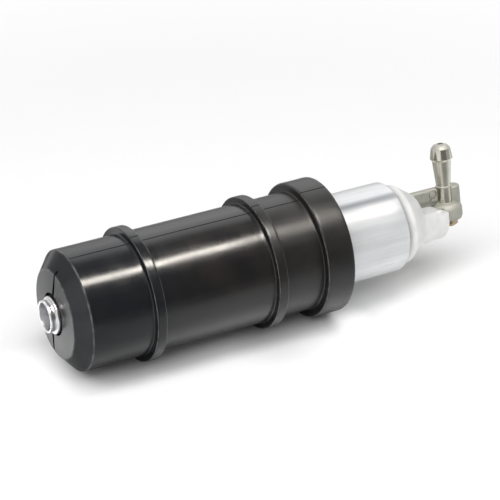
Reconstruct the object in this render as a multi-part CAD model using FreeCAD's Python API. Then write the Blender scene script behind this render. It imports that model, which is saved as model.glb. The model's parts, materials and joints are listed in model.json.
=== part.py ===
# Electric in-line fuel pump in a rubber sleeve.
# X runs along the pump from the inlet to the outlet and Z points up.
# The origin is on the pump's axis, in the plane of the sleeve's front face.
# All sizes are in millimetres and all angles in degrees.
import FreeCAD
import Part
import math
import os

Vector = FreeCAD.Vector

# Fits and clearances
sliding_play = 0.05
running_play = 0.03
side_play = 0.03
rotor_play = 0.06
outer_rotor_play = 0.06
valve_play = 0.4
loose_play = 0.3

# Corners smaller than this are cut straight, larger ones are round
smallest_round = 1.0

# Rubber sleeve
sleeve_diameter = 56.0
sleeve_length = 136.4
nose_diameter = 41.2
nose_rise = 1.0
nose_slope_length = 6.3
nose_wall = 3.6
neck_hole_diameter = 20.3
rib_diameter = 62.4
rib_width = 4.8
front_rib_place = 36.6
rear_rib_place = 97.4
flange_diameter = 64.0
flange_width = 13.9
sleeve_edge = 0.7

# Aluminium can
can_diameter = 43.0
can_wall = 1.4
can_length = 168.5
lip_reach = 2.2
lip_round = 1.3

# Inlet cover with its neck
inlet_bore = 12.8
inlet_tube = 15.0
inlet_reach = 4.1
neck_ring_diameter = 17.4
neck_ring_width = 1.35
neck_ring_end = 0.15
neck_root_diameter = 15.8
cover_thickness = 8.6
suction_port_depth = 3.0

# Rotor set
inner_lobes = 6
eccentricity = 1.2
lobe_circle = 12.6
lobe_radius = 3.2
rotor_chamber = 12.0
outer_rotor_radius = 15.4

# Port plate
plate_thickness = 8.0
bush_diameter = 10.0
shaft_diameter = 6.0
shaft_flats = 4.6

# Clamp screws of the rotor set
screw_circle = 17.9
screw_diameter = 2.4
screw_head_diameter = 4.0
screw_head_height = 1.6

# Relief valve in the port plate and cover
relief_circle = 17.6
relief_ball_radius = 1.1
relief_seat_bore = 0.8
relief_travel = 0.8
relief_wire = 0.3
relief_turns = 3

# Motor
flux_length = 90.0
flux_wall = 2.6
magnet_thickness = 3.6
magnet_margin = 8.0
magnet_angle = 136.0
magnet_gap = 0.7
clip_sheet = 0.7
clip_play = 2.6
core_length = 58.0
core_slots = 8
slot_width = 2.4
slot_floor = 6.4
tooth_tip = 1.6
winding_bulge = 8.0

# Commutator and brushes
commutator_diameter = 17.0
commutator_length = 14.0
commutator_gap = 5.0
segment_slit = 0.5
brush_length = 6.0
brush_section = 5.6
brush_travel = 2.0
brush_spring_radius = 1.7
brush_wire = 0.4
brush_turns = 3
strip_thickness = 0.6
strip_width = 5.0
strip_cover = 1.0

# Brush holder
holder_wall = 2.0
web_thickness = 6.0
web_gap = 5.0

# End cap
cap_flange_width = 11.0
cap_bead_radius = 18.9
cap_bead_width = 5.2
cap_step_length = 7.0
boss_radius = 12.75
boss_tip_radius = 12.2
cap_length = 27.5
cone_length = 8.6
ledge_height = 4.6
ledge_length = 14.0
rim_ledge_height = 3.0

# Sealing rings
ring_wire = 1.2
spigot_ring_wire = 0.7

# Outlet fitting, clocked about the pump's axis
fitting_clock = 13.5
fitting_place = 205.1
spigot_radius = 3.2
spigot_bore = 1.7
spigot_drop = 1.6
spigot_depth = 11.0
fitting_gap = 0.6
arm_width = 4.4
arm_top = 12.6
arm_foot = 4.7
arm_under_wide = 3.6
arm_under_narrow = 1.6
arm_edge = 0.8
end_radius = 4.0
end_offset = 4.0
post_radius = 3.8
post_top = 12.9
barb_top = 33.4
barb_crown_height = 31.7
barb_crown_radius = 4.4
barb_radius = 5.37
barb_land_top = 29.0
barb_land_bottom = 26.2
barb_under = 25.0
barb_neck_radius = 4.45
barb_base_radius = 3.55
barb_bore = 1.4
chamber_radius = 8.0
chamber_top = 4.6
chamber_round = 3.4
chamber_bottom = -5.0
chamber_slope = 2.8
side_plug_radius = 1.8
side_plug_height = 10.2
side_plug_place = 197.4

# Check valve under the barb
check_ball_radius = 2.2
check_seat_bore = 1.7
check_seat_height = 0.3
check_seat_thickness = 1.2
check_seat_radius = 3.2
check_travel = 1.5
check_wire = 0.45
check_turns = 3
check_bore = 4.2
screw_plug_radius = 5.5
screw_plug_head = 1.3
crush_washer = 0.4

# Terminals
stud_circle = 14.0
stud_seat = 8.6
stud_reach = 11.5
positive_stud = 5.0
negative_stud = 4.0
positive_angle = 90.0
negative_angle = 132.0
stud_head = 2.4
pocket_radius = 5.6
nut_height_share = 0.8

# Places along the pump that follow from the sizes above
can_start = nose_wall + 0.4
can_end = can_start + can_length
can_radius = can_diameter / 2
can_inside = can_radius - can_wall
fit_radius = can_inside - sliding_play
cover_front = can_start + can_wall
cover_back = cover_front + cover_thickness
ring_back = cover_back + rotor_chamber
plate_back = ring_back + plate_thickness
flux_back = plate_back + flux_length
cap_front = can_end - can_wall - cap_flange_width
shaft_radius = shaft_diameter / 2
commutator_start = flux_back + commutator_gap
commutator_end = commutator_start + commutator_length
web_start = commutator_end + web_gap
web_end = web_start + web_thickness
brush_place = (commutator_start + commutator_end) / 2
strip_outside = can_inside - strip_cover
strip_inside = strip_outside - strip_thickness
cap_shoulder = can_end + cap_bead_width
cap_tip = can_end + cap_length
ledge_start = cap_tip - ledge_length
outer_lobes = inner_lobes + 1
core_radius = fit_radius - flux_wall - magnet_thickness - magnet_gap
core_start = (plate_back + flux_back - core_length) / 2
core_end = core_start + core_length
check_drop = math.sqrt(check_ball_radius ** 2 - check_seat_bore ** 2)
check_centre = check_seat_height + check_seat_thickness + check_drop + 0.01
spring_foot = check_centre + check_ball_radius * 0.8
spring_top = check_centre + check_ball_radius + check_travel + 2.4


def rounded_wire(points):
    """Closed wire in the XZ plane. A point is (x, z) or (x, z, corner radius)."""
    count = len(points)
    places = [Vector(p[0], 0, p[1]) for p in points]
    starts = []
    corners = []
    for i, place in enumerate(places):
        radius = points[i][2] if len(points[i]) > 2 else 0
        if radius == 0:
            starts.append((place, place))
            corners.append(None)
            continue
        back = (places[i - 1] - place).normalize()
        ahead = (places[(i + 1) % count] - place).normalize()
        half = back.getAngle(ahead) / 2
        reach = radius / math.tan(half)
        first = place + back * reach
        last = place + ahead * reach
        middle_line = (back + ahead).normalize()
        centre = place + middle_line * (radius / math.sin(half))
        middle = centre - middle_line * radius
        starts.append((first, last))
        if radius < smallest_round:
            corners.append(Part.makeLine(first, last))
        else:
            corners.append(Part.Arc(first, middle, last).toShape())
    edges = []
    for i in range(count):
        if corners[i] is not None:
            edges.append(corners[i])
        leave = starts[i][1]
        arrive = starts[(i + 1) % count][0]
        if leave.distanceToPoint(arrive) > 1e-6:
            edges.append(Part.makeLine(leave, arrive))
    return Part.Wire(edges)


def turned(points):
    """Solid turned about the pump's axis from (x, radius) points."""
    face = Part.Face(rounded_wire(points))
    return face.revolve(Vector(0, 0, 0), Vector(1, 0, 0), 360)


def turned_upright(points, place):
    """Solid turned about a vertical line at x = place from (radius, z) points."""
    face = Part.Face(rounded_wire(points))
    solid = face.revolve(Vector(0, 0, 0), Vector(0, 0, 1), 360)
    solid.translate(Vector(place, 0, 0))
    return solid


def tube(start, end, outside, inside):
    return turned([(start, inside), (end, inside), (end, outside), (start, outside)])


def rod(start, end, radius, y=0.0, z=0.0):
    return Part.makeCylinder(radius, end - start, Vector(start, y, z), Vector(1, 0, 0))


def upright_rod(bottom, top, radius, x=0.0, y=0.0):
    return Part.makeCylinder(radius, top - bottom, Vector(x, y, bottom))


def block(x0, x1, y0, y1, z0, z1):
    return Part.makeBox(x1 - x0, y1 - y0, z1 - z0, Vector(x0, y0, z0))


def about_axis(shape, angle):
    """Copy turned about the pump's axis. Positive angles go from +Z towards +Y."""
    copy = shape.copy()
    copy.rotate(Vector(0, 0, 0), Vector(1, 0, 0), -angle)
    return copy


def around(angle, radius):
    """Y and Z of a place at an angle from +Z towards +Y."""
    turn = math.radians(angle)
    return radius * math.sin(turn), radius * math.cos(turn)


def sealing_ring(place, outside, wire):
    """Ring of eight-sided section, as wide as the round one it stands for."""
    corner = wire / math.cos(math.pi / 8)
    points = []
    for i in range(8):
        turn = math.pi * (i + 0.5) / 4
        points.append((place + corner * math.cos(turn), outside - wire + corner * math.sin(turn)))
    return turned(points)


def coil(bottom, top, radius, wire, turns):
    """Compression spring along Z, one unbroken tube made of quarter-turn arcs."""
    low = bottom + wire
    rise = (top - bottom - 2 * wire) / turns

    def on_coil(turn):
        angle = 2 * math.pi * turn
        return Vector(radius * math.cos(angle), radius * math.sin(angle), low + rise * turn)

    arcs = []
    for quarter in range(4 * turns):
        start = quarter / 4
        arc = Part.Arc(on_coil(start), on_coil(start + 0.125), on_coil(start + 0.25))
        arcs.append(arc.toShape())
    path = Part.Wire(arcs)
    heading = Vector(0, 2 * math.pi * radius, rise)
    outwards = Vector(1, 0, 0)
    sideways = heading.cross(outwards).normalize()
    corners = []
    for i in range(4):
        turn = math.pi * (i + 0.5) / 2
        corners.append(on_coil(0) + outwards * wire * math.cos(turn) + sideways * wire * math.sin(turn))
    corners.append(corners[0])
    return path.makePipeShell([Part.makePolygon(corners)], True, False)


def write(name, shape):
    shape.exportStep("parts/" + name + ".step")


# Rubber sleeve
def rubber_sleeve():
    radius = sleeve_diameter / 2
    rib = rib_diameter / 2
    front_rib_end = front_rib_place + rib_width
    rear_rib_end = rear_rib_place + rib_width
    flange_start = sleeve_length - flange_width
    return turned([
        (nose_rise * 0.2, neck_hole_diameter / 2, 0.4),
        (nose_rise, nose_diameter / 2, 1.2),
        (nose_rise + nose_slope_length, radius, 1.0),
        (front_rib_place, radius),
        (front_rib_place, rib, sleeve_edge),
        (front_rib_end, rib, sleeve_edge),
        (front_rib_end, radius),
        (rear_rib_place, radius),
        (rear_rib_place, rib, sleeve_edge),
        (rear_rib_end, rib, sleeve_edge),
        (rear_rib_end, radius),
        (flange_start, radius),
        (flange_start, flange_diameter / 2, sleeve_edge),
        (sleeve_length, flange_diameter / 2, sleeve_edge),
        (sleeve_length, can_radius),
        (nose_wall, can_radius),
        (nose_wall, neck_hole_diameter / 2),
    ])


# Aluminium can with both lips rolled in
def pump_can():
    hole = can_radius - lip_reach
    return turned([
        (can_start, hole),
        (can_start, can_radius, lip_round),
        (can_end, can_radius, lip_round),
        (can_end, hole),
        (can_end - can_wall, hole),
        (can_end - can_wall, can_inside),
        (can_start + can_wall, can_inside),
        (can_start + can_wall, hole),
    ])


# Kidney-shaped port cut for the rotor set
def kidney(start, end, first_angle, last_angle):
    inner = lobe_circle - lobe_radius - eccentricity
    outer = lobe_circle - 0.4
    face = Part.Face(Part.Wire([
        Part.makeLine(Vector(start, 0, inner), Vector(start, 0, outer)),
        Part.makeLine(Vector(start, 0, outer), Vector(end, 0, outer)),
        Part.makeLine(Vector(end, 0, outer), Vector(end, 0, inner)),
        Part.makeLine(Vector(end, 0, inner), Vector(start, 0, inner)),
    ]))
    face = about_axis(face, first_angle)
    return face.revolve(Vector(0, 0, 0), Vector(-1, 0, 0), last_angle - first_angle)


def screw_places():
    return [around(angle, screw_circle) for angle in (40, 160, 280)]


# Inlet cover: closes the front of the rotor set and carries the neck
def inlet_cover():
    neck_foot = cover_front - 1.2
    ring_start = neck_ring_end - neck_ring_width
    neck_waist = inlet_tube / 2 - 0.15
    body = turned([
        (-inlet_reach, inlet_bore / 2, 0.5),
        (-inlet_reach, inlet_tube / 2, 0.6),
        (-inlet_reach + 1.1, inlet_tube / 2),
        (-inlet_reach + 1.3, neck_waist),
        (ring_start, neck_waist),
        (ring_start, neck_ring_diameter / 2, 0.4),
        (neck_ring_end, neck_ring_diameter / 2, 0.3),
        (neck_ring_end, neck_root_diameter / 2),
        (neck_foot, neck_root_diameter / 2),
        (neck_foot, can_radius - lip_reach - sliding_play),
        (cover_front, can_radius - lip_reach - sliding_play),
        (cover_front, fit_radius),
        (cover_back, fit_radius),
        (cover_back, 0),
        (cover_back - suction_port_depth - 1.2, 0),
        (cover_back - suction_port_depth - 1.2, inlet_bore / 2, 1.0),
    ])
    port_start = cover_back - suction_port_depth - 1.6
    body = body.cut(kidney(port_start, cover_back + 1, 195, 345))
    for y, z in screw_places():
        body = body.cut(rod(cover_front - 2, cover_back + 1, screw_diameter / 2 + 0.1, y, z))
        head = screw_head_diameter / 2 + 0.2
        body = body.cut(rod(cover_front - 2, cover_front + screw_head_height + 0.2, head, y, z))
    y, z = around(100, relief_circle)
    body = body.cut(rod(cover_back - 2.2, cover_back + 1, relief_ball_radius, y, z))
    return body


# Eccentric ring that the outer rotor turns in
def eccentric_ring():
    body = rod(cover_back, ring_back, fit_radius)
    bore = outer_rotor_radius + outer_rotor_play
    body = body.cut(rod(cover_back - 1, ring_back + 1, bore, 0, -eccentricity))
    for y, z in screw_places():
        body = body.cut(rod(cover_back - 1, ring_back + 1, screw_diameter / 2 + 0.1, y, z))
    y, z = around(100, relief_circle)
    return body.cut(rod(cover_back - 1, ring_back + 1, relief_seat_bore, y, z))


# Outline of the inner rotor: every place that the outer rotor's lobes reach, set in by their radius
def inner_rotor_outline(start):
    steps = 12 * inner_lobes
    offset = lobe_radius + rotor_play
    turns = inner_lobes + 1
    places = []
    for step in range(steps):
        angle = 2 * math.pi * step / steps
        across = lobe_circle * math.cos(angle) + eccentricity * math.cos(turns * angle)
        along = lobe_circle * math.sin(angle) + eccentricity * math.sin(turns * angle)
        slope_across = -lobe_circle * math.sin(angle) - eccentricity * turns * math.sin(turns * angle)
        slope_along = lobe_circle * math.cos(angle) + eccentricity * turns * math.cos(turns * angle)
        speed = math.hypot(slope_across, slope_along)
        across -= offset * slope_along / speed
        along += offset * slope_across / speed
        places.append(Vector(start, along, -across))
    curve = Part.BSplineCurve()
    curve.interpolate(places, PeriodicFlag=True)
    return Part.Wire(curve.toShape())


def double_flat_hole(start, end, play):
    hole = rod(start, end, shaft_radius + play)
    half = shaft_flats / 2 + play
    keep = block(start, end, -half, half, -shaft_diameter, shaft_diameter)
    return hole.common(keep)


def inner_rotor():
    start = cover_back + side_play
    end = ring_back - side_play
    body = Part.Face(inner_rotor_outline(start)).extrude(Vector(end - start, 0, 0))
    return body.cut(double_flat_hole(start - 1, end + 1, sliding_play))


# Outer rotor: round lobes on a circle, joined by the root circle
def outer_rotor():
    start = cover_back + side_play
    end = ring_back - side_play
    root = lobe_circle + 2 * eccentricity - lobe_radius + 2 * rotor_play
    hollow = rod(start - 1, end + 1, root)
    for lobe in range(outer_lobes):
        y, z = around(180 + 360 * lobe / outer_lobes, lobe_circle)
        hollow = hollow.cut(rod(start - 1, end + 1, lobe_radius, y, z))
    body = rod(start, end, outer_rotor_radius).cut(hollow)
    body.translate(Vector(0, 0, -eccentricity))
    return body


# Port plate between the rotor set and the motor
def port_plate():
    body = rod(ring_back, plate_back, fit_radius)
    body = body.cut(rod(ring_back - 1, plate_back + 1, bush_diameter / 2))
    body = body.cut(kidney(ring_back - 1, plate_back + 1, 15, 165))
    for y, z in screw_places():
        body = body.cut(rod(ring_back - 1, plate_back - 2, screw_diameter / 2, y, z))
    y, z = around(100, relief_circle)
    return body.cut(rod(ring_back - 1, plate_back + 1, relief_ball_radius + 0.25, y, z))


def front_bush():
    bore = shaft_radius + running_play
    return turned([
        (ring_back + 0.4, bore),
        (plate_back + 0.4, bore),
        (plate_back + 0.4, bush_diameter / 2),
        (ring_back + 0.4, bush_diameter / 2),
    ])


def stage_screws():
    screws = []
    for y, z in screw_places():
        shank = rod(cover_front + screw_head_height, plate_back - 2.2, screw_diameter / 2, y, z)
        head = rod(cover_front, cover_front + screw_head_height, screw_head_diameter / 2, y, z)
        slot = block(cover_front - 1, cover_front + 0.7, y - 0.3, y + 0.3, z - 4, z + 4)
        screws.append(shank.fuse(head).cut(slot).removeSplitter())
    return Part.makeCompound(screws)


# Relief valve: the ball closes the hole through the eccentric ring
def relief_parts():
    y, z = around(100, relief_circle)
    drop = math.sqrt(relief_ball_radius ** 2 - relief_seat_bore ** 2)
    centre = ring_back + drop + 0.01
    ball = Part.makeSphere(relief_ball_radius, Vector(centre, y, z))
    retainer_start = plate_back - 1.2
    spring = coil(0, retainer_start - centre - relief_ball_radius * 0.9,
                  relief_ball_radius * 0.7, relief_wire / 2, relief_turns)
    spring.rotate(Vector(0, 0, 0), Vector(0, 1, 0), 90)
    spring.translate(Vector(centre + relief_ball_radius * 0.9, y, z))
    retainer = rod(retainer_start, plate_back, relief_ball_radius + 0.25, y, z)
    retainer = retainer.cut(rod(retainer_start - 1, plate_back + 1, 0.5, y, z))
    return ball, spring, retainer


# Motor
def flux_ring():
    return tube(plate_back, flux_back, fit_radius, fit_radius - flux_wall)


def magnets():
    outside = fit_radius - flux_wall
    inside = outside - magnet_thickness
    start = plate_back + magnet_margin
    end = flux_back - magnet_margin
    face = Part.Face(rounded_wire([
        (start, inside, 0.5), (end, inside, 0.5), (end, outside), (start, outside)]))
    pair = []
    for middle in (90, 270):
        first = about_axis(face, middle - magnet_angle / 2)
        pair.append(first.revolve(Vector(0, 0, 0), Vector(-1, 0, 0), magnet_angle))
    return pair


def magnet_clips():
    outside = fit_radius - flux_wall
    start = plate_back + magnet_margin
    end = flux_back - magnet_margin
    half_gap = 90 - magnet_angle / 2 - clip_play
    clips = []
    for middle in (0, 180):
        face = Part.Face(rounded_wire([
            (start, outside - clip_sheet), (end, outside - clip_sheet),
            (end, outside), (start, outside)]))
        first = about_axis(face, middle - half_gap)
        clip = first.revolve(Vector(0, 0, 0), Vector(-1, 0, 0), 2 * half_gap)
        foot = outside - magnet_thickness + 0.4
        for turn in (-half_gap, half_gap):
            leg = block(start, end, -clip_sheet / 2, clip_sheet / 2, foot, outside - clip_sheet / 2)
            clip = clip.fuse(about_axis(leg, middle + turn))
        clips.append(clip.removeSplitter())
    return Part.makeCompound(clips)


def shaft():
    body = turned([
        (cover_back + 0.6, 0), (web_end + 1.5, 0),
        (web_end + 1.5, shaft_radius, 0.6), (cover_back + 0.6, shaft_radius)])
    for side in (-1, 1):
        flat = block(cover_back, ring_back + 0.2, 0, shaft_diameter, -shaft_diameter, shaft_diameter)
        flat.translate(Vector(0, shaft_flats / 2, 0))
        if side < 0:
            flat.rotate(Vector(0, 0, 0), Vector(1, 0, 0), 180)
        body = body.cut(flat)
    return body


def slot_wedge(start, end, width, floor, ceiling):
    return block(start, end, -width / 2, width / 2, floor, ceiling)


def lamination_core():
    body = tube(core_start, core_end, core_radius, shaft_radius)
    for slot in range(core_slots):
        angle = 360 * (slot + 0.5) / core_slots
        mouth = slot_wedge(core_start - 1, core_end + 1, slot_width * 0.5, slot_floor, core_radius + 1)
        pocket = slot_wedge(core_start - 1, core_end + 1, slot_width, slot_floor, core_radius - tooth_tip)
        body = body.cut(about_axis(mouth.fuse(pocket), angle))
    return body


def windings():
    inside = shaft_radius + 1.6
    outside = core_radius - tooth_tip
    front = turned([
        (core_start - winding_bulge, inside, 0.9), (core_start - winding_bulge, outside - 2),
        (core_start - winding_bulge + 2, outside), (core_start, outside), (core_start, inside)])
    rear = turned([
        (core_end, inside), (core_end, outside),
        (core_end + winding_bulge - 2, outside), (core_end + winding_bulge, outside - 2),
        (core_end + winding_bulge, inside, 0.9)])
    body = front.fuse(rear)
    for slot in range(core_slots):
        angle = 360 * (slot + 0.5) / core_slots
        bar = slot_wedge(core_start - 1, core_end + 1, slot_width - 0.2, slot_floor + 0.1,
                         core_radius - tooth_tip - 0.1)
        body = body.fuse(about_axis(bar, angle))
    return body.removeSplitter()


def commutator():
    radius = commutator_diameter / 2
    body = tube(commutator_start, commutator_end, radius, shaft_radius + 2.2)
    for segment in range(core_slots):
        slit = block(commutator_start - 1, commutator_end + 1, -segment_slit / 2, segment_slit / 2,
                     radius - 1.0, radius + 1)
        body = body.cut(about_axis(slit, 360 * segment / core_slots))
    return body


def commutator_hub():
    return tube(commutator_start - 1.5, commutator_end + 1.0, shaft_radius + 2.2, shaft_radius)


def thrust_washers():
    front = tube(plate_back + 0.6, plate_back + 1.6, shaft_radius + 2.4, shaft_radius)
    rear = tube(web_start - 1.2, web_start - 0.2, shaft_radius + 2.4, shaft_radius)
    return Part.makeCompound([front, rear])


# Brush holder: tube, brush guides and rear bearing web
def brush_holder():
    inside = fit_radius - holder_wall
    body = tube(flux_back, cap_front, fit_radius, inside)
    web = tube(web_start, web_end, inside + 0.1, bush_diameter / 2)
    for window in range(6):
        y, z = around(30 + 60 * window, (inside + bush_diameter / 2) / 2)
        web = web.cut(rod(web_start - 1, web_end + 1, 3.2, y, z))
    body = body.fuse(web)
    half = brush_section / 2
    guide_wall = 1.5
    guide_foot = commutator_diameter / 2 + 1.2
    for angle in (0, 180):
        guide = block(brush_place - half - guide_wall, brush_place + half + guide_wall,
                      -half - guide_wall, half + guide_wall, guide_foot, inside + 0.5)
        body = body.fuse(about_axis(guide, angle))
    for angle in (0, 180):
        wide = half + loose_play / 3
        tunnel = block(brush_place - wide, brush_place + wide, -wide, wide,
                       guide_foot - 1, strip_inside)
        groove = block(brush_place - half, cap_front + 1, -strip_width / 2, strip_width / 2,
                       inside - 0.5, strip_outside)
        body = body.cut(about_axis(tunnel.fuse(groove), angle))
    return body.removeSplitter()


def rear_bush():
    return tube(web_start + 0.2, web_end + 0.4, bush_diameter / 2, shaft_radius + running_play)


def brush():
    foot = commutator_diameter / 2 + running_play
    half = brush_section / 2
    body = block(brush_place - half, brush_place + half, -half, half, foot, foot + brush_length)
    curve = rod(brush_place - half - 1, brush_place + half + 1, foot)
    return body.cut(curve)


def brush_spring():
    foot = commutator_diameter / 2 + running_play + brush_length
    spring = coil(foot, strip_inside, brush_spring_radius, brush_wire / 2, brush_turns)
    spring.translate(Vector(brush_place, 0, 0))
    return spring


# Brass strips from the brush springs to the terminal studs
def contact_strip(strip_angle, stud_angle, stud_diameter):
    start = brush_place - brush_section / 2 + 0.3
    half = strip_width / 2 - 0.1
    along = block(start, cap_front, -half, half, strip_inside, strip_outside)
    tab_start = cap_front - strip_thickness
    tab = block(tab_start, cap_front, -half, half, stud_circle - 2, strip_outside)
    body = about_axis(along.fuse(tab), strip_angle)
    face = Part.Face(rounded_wire([
        (tab_start, stud_circle - 2), (cap_front, stud_circle - 2),
        (cap_front, stud_circle + 2), (tab_start, stud_circle + 2)]))
    low = min(strip_angle, stud_angle)
    sweep = abs(stud_angle - strip_angle)
    sector = about_axis(face, low).revolve(Vector(0, 0, 0), Vector(-1, 0, 0), sweep)
    y, z = around(stud_angle, stud_circle)
    eye = rod(tab_start, cap_front, stud_diameter / 2 + 1.3, y, z)
    body = body.fuse(sector).fuse(eye).removeSplitter()
    return body.cut(rod(tab_start - 1, cap_front + 1, stud_diameter / 2, y, z))


# End cap: bead, cone, stepped boss, flat ledge for the fitting and terminal pockets
def end_cap():
    lip_hole = can_radius - lip_reach
    step = cap_tip - cap_step_length
    body = turned([
        (cap_front, 0), (cap_front, fit_radius), (can_end - can_wall, fit_radius),
        (can_end - can_wall, lip_hole - sliding_play),
        (can_end + 0.3, lip_hole - sliding_play, 0.3),
        (can_end + 0.9, cap_bead_radius, 1.0), (cap_shoulder, cap_bead_radius, 2.4),
        (cap_shoulder + cone_length, boss_radius, 3.0), (step, boss_radius, 0.5),
        (step, boss_tip_radius, 0.2), (cap_tip, boss_tip_radius, 1.2), (cap_tip, 0)])
    cavity = turned([
        (cap_front - 1, 0), (cap_front - 1, 10.5), (cap_front + 6, 10.5),
        (cap_front + 9, 6.5), (cap_tip - spigot_depth - 3, 6.5), (cap_tip - spigot_depth - 3, 0)])
    body = body.cut(cavity)
    body = body.cut(rod(cap_front, cap_tip - spigot_depth + 0.5, spigot_bore + 1.0, 0, -spigot_drop))
    socket = spigot_radius + sliding_play
    body = body.cut(rod(cap_tip - spigot_depth - 0.3, cap_tip + 1, socket, 0, -spigot_drop))
    wide = can_diameter
    body = body.cut(block(ledge_start, cap_tip + 1, -wide, wide, ledge_height, wide))
    rim_ledge = fitting_place - chamber_radius - fitting_gap
    body = body.cut(block(rim_ledge, cap_tip + 1, -wide, wide, rim_ledge_height, wide))
    groove = tube(cap_front + 4.6, cap_front + 4.6 + 2.4 * ring_wire, can_radius,
                  can_inside - 2 * ring_wire)
    body = body.cut(groove)
    plug_foot = chamber_bottom - crush_washer - screw_plug_head - fitting_gap
    plug_room = screw_plug_radius + 0.3 + fitting_gap
    body = body.cut(upright_rod(plug_foot, chamber_bottom + fitting_gap, plug_room, fitting_place))
    seat = can_end + stud_seat
    for angle, diameter in ((positive_angle, positive_stud), (negative_angle, negative_stud)):
        y, z = around(angle, stud_circle)
        body = body.cut(rod(seat, cap_tip + 1, pocket_radius, y, z))
        body = body.cut(rod(cap_front - 1, cap_tip, diameter / 2, y, z))
    return about_axis(body.removeSplitter(), fitting_clock)


def hexagon_nut(start, height, bore, flats, y, z):
    corner = flats / math.sqrt(3)
    points = []
    for i in range(7):
        turn = math.radians(60 * i)
        points.append(Vector(start, y + corner * math.cos(turn), z + corner * math.sin(turn)))
    body = Part.Face(Part.makePolygon(points)).extrude(Vector(height, 0, 0))
    return body.cut(rod(start - 1, start + height + 1, bore, y, z))


def stud_places():
    places = []
    for angle, diameter in ((positive_angle, positive_stud), (negative_angle, negative_stud)):
        y, z = around(angle + fitting_clock, stud_circle)
        places.append((y, z, diameter))
    return places


def terminal_stud(number):
    y, z, diameter = stud_places()[number]
    seat = can_end + stud_seat
    tab_start = cap_front - strip_thickness
    end = seat + stud_reach
    shank = turned([(tab_start, 0), (end, 0), (end, diameter / 2, 0.5), (tab_start, diameter / 2)])
    shank.translate(Vector(0, y, z))
    head = rod(tab_start - stud_head, tab_start, diameter / 2 + 1.2, y, z)
    return shank.fuse(head).removeSplitter()


def terminal_nuts():
    seat = can_end + stud_seat
    nuts = []
    for y, z, diameter in stud_places():
        height = diameter * nut_height_share
        flats = 1.5 * diameter + 0.6
        nuts.append(hexagon_nut(seat + diameter / 5, height, diameter / 2, flats, y, z))
    return Part.makeCompound(nuts)


def terminal_washers():
    seat = can_end + stud_seat
    washers = []
    for y, z, diameter in stud_places():
        ring = rod(seat, seat + diameter / 5, diameter * 0.98, y, z)
        washers.append(ring.cut(rod(seat - 1, seat + diameter, diameter / 2, y, z)))
    return Part.makeCompound(washers)


def cap_seal():
    return sealing_ring(cap_front + 4.6 + 1.2 * ring_wire, can_inside, ring_wire)


# Outlet fitting, drawn upright with the barb along Z, then clocked
def outlet_elbow():
    place = fitting_place
    flat = cap_tip + fitting_gap
    barb = turned_upright([
        (0, post_top - 0.5), (barb_base_radius, post_top - 0.5), (barb_base_radius, post_top),
        (barb_neck_radius, barb_under - 0.8, 0.6), (barb_neck_radius, barb_under),
        (barb_radius - 0.5, barb_under, 0.2), (barb_radius, barb_land_bottom, 0.4),
        (barb_radius, barb_land_top, 1.5), (barb_crown_radius, barb_crown_height, 0.3),
        (barb_crown_radius - 1.2, barb_top - 0.6, 1.4), (barb_bore + 0.3, barb_top),
        (0, barb_top)], place)
    post = upright_rod(0, post_top, post_radius, place)
    post = post.makeChamfer(0.3, [post.Edges[0]])
    end = turned_upright([
        (0, 0), (end_radius, 0), (end_radius, arm_top - 0.3, 1.0), (0, arm_top - 0.3)],
        place + end_offset)
    half = arm_width / 2
    arm = block(ledge_start + 0.4, place + end_offset, -half, half, arm_foot, arm_top)
    top_edges = [edge for edge in arm.Edges if abs(edge.CenterOfMass.z - arm_top) < 1e-6
                 and abs(edge.CenterOfMass.y) > half - 1e-6]
    arm = arm.makeFillet(arm_edge, top_edges)
    for side in (-1, 1):
        ends = []
        for x, rise in ((ledge_start, arm_under_wide), (place, arm_under_narrow)):
            ends.append(Part.makePolygon([
                Vector(x, side * half, arm_foot + rise), Vector(x, side * half / 2, arm_foot),
                Vector(x, side * half / 2, arm_foot - 1), Vector(x, side * (half + 1), arm_foot - 1),
                Vector(x, side * (half + 1), arm_foot + rise), Vector(x, side * half, arm_foot + rise)]))
        arm = arm.cut(Part.makeLoft(ends, True, True))
    chamber = turned_upright([
        (0, chamber_bottom), (chamber_radius - chamber_slope / 2, chamber_bottom, 0.3),
        (chamber_radius, chamber_bottom + chamber_slope, 0.8),
        (chamber_radius, chamber_top, chamber_round), (0, chamber_top)], place)
    wide = 2 * chamber_radius
    chamber = chamber.cut(block(0, flat, -wide, wide, -wide, rim_ledge_height + 0.1))
    spigot = rod(cap_tip - spigot_depth + 0.2, flat + 2, spigot_radius, 0, -spigot_drop)
    body = chamber.fuse([post, end, arm, barb, spigot])
    groove_start = cap_tip - spigot_depth + 2.0
    groove = tube(groove_start, groove_start + 2.4 * spigot_ring_wire, spigot_radius + 1,
                  spigot_radius + sliding_play - 2 * spigot_ring_wire)
    groove.translate(Vector(0, 0, -spigot_drop))
    body = body.cut(groove)
    body = body.cut(rod(cap_tip - spigot_depth - 1, place, spigot_bore, 0, -spigot_drop))
    spring_room = check_seat_height + check_seat_thickness
    body = body.cut(upright_rod(chamber_bottom - 1, check_seat_height, check_bore, place))
    body = body.cut(upright_rod(0, spring_room, check_seat_radius, place))
    body = body.cut(upright_rod(0, spring_top, check_ball_radius + valve_play, place))
    body = body.cut(upright_rod(0, barb_top + 1, barb_bore, place))
    plug_hole = Part.makeCylinder(side_plug_radius, half, Vector(side_plug_place, -half - 0.1,
                                  side_plug_height), Vector(0, 1, 0))
    body = body.cut(plug_hole)
    return about_axis(body.removeSplitter(), fitting_clock)


def side_plug():
    half = arm_width / 2
    plug = Part.makeCylinder(side_plug_radius, half - 0.3, Vector(side_plug_place, -half + 0.2,
                             side_plug_height), Vector(0, 1, 0))
    return about_axis(plug.makeChamfer(0.3, [plug.Edges[2]]), fitting_clock)


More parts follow.
